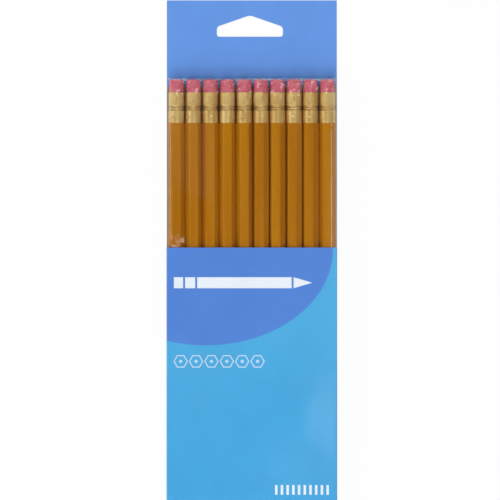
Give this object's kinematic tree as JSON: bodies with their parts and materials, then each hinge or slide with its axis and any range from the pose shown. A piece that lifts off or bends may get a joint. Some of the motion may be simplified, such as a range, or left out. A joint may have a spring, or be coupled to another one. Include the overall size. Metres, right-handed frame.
{
  "type": "pencil pack",
  "caption": "Retail pack of new hexagonal pencils with erasers, side by side in clear film in a printed card sleeve whose header has a die-cut hang hole.",
  "frame": {"origin": "middle of the pack's outline, on the back face of the card, on the surface it lies on", "axes": "+X across the pencils to the right as seen from the front, +Y along the pencils towards the erasers and the hang hole, +Z out of the printed front"},
  "size_m": [0.0778, 0.2286, 0.0092],
  "materials": {
    "printed_card": "coated card printed in blues on the outside and on the header's front, plain grey-brown board on the inside",
    "clear_film": "clear glossy film with faint wrinkles",
    "barrel_paint": "yellow-orange gloss paint on wood, bare wood at the flat end",
    "graphite_lead": "dull dark graphite and clay",
    "ferrule_metal": "gold-coloured thin metal, beaded and crimped",
    "eraser_rubber": "matte pink rubber"
  },
  "bodies": {
    "root": {"card_sleeve": "printed_card", "film_pouch": "clear_film", "pencil_01_casing": "barrel_paint", "pencil_01_lead": "graphite_lead", "pencil_01_ferrule": "ferrule_metal", "pencil_01_eraser": "eraser_rubber", "pencil_02_casing": "barrel_paint", "pencil_02_lead": "graphite_lead", "pencil_02_ferrule": "ferrule_metal", "pencil_02_eraser": "eraser_rubber", "pencil_03_casing": "barrel_paint", "pencil_03_lead": "graphite_lead", "pencil_03_ferrule": "ferrule_metal", "pencil_03_eraser": "eraser_rubber", "pencil_04_casing": "barrel_paint", "pencil_04_lead": "graphite_lead", "pencil_04_ferrule": "ferrule_metal", "pencil_04_eraser": "eraser_rubber", "pencil_05_casing": "barrel_paint", "pencil_05_lead": "graphite_lead", "pencil_05_ferrule": "ferrule_metal", "pencil_05_eraser": "eraser_rubber", "pencil_06_casing": "barrel_paint", "pencil_06_lead": "graphite_lead", "pencil_06_ferrule": "ferrule_metal", "pencil_06_eraser": "eraser_rubber", "pencil_07_casing": "barrel_paint", "pencil_07_lead": "graphite_lead", "pencil_07_ferrule": "ferrule_metal", "pencil_07_eraser": "eraser_rubber", "pencil_08_casing": "barrel_paint", "pencil_08_lead": "graphite_lead", "pencil_08_ferrule": "ferrule_metal", "pencil_08_eraser": "eraser_rubber", "pencil_09_casing": "barrel_paint", "pencil_09_lead": "graphite_lead", "pencil_09_ferrule": "ferrule_metal", "pencil_09_eraser": "eraser_rubber", "pencil_10_casing": "barrel_paint", "pencil_10_lead": "graphite_lead", "pencil_10_ferrule": "ferrule_metal", "pencil_10_eraser": "eraser_rubber"}
  },
  "joints": []
}
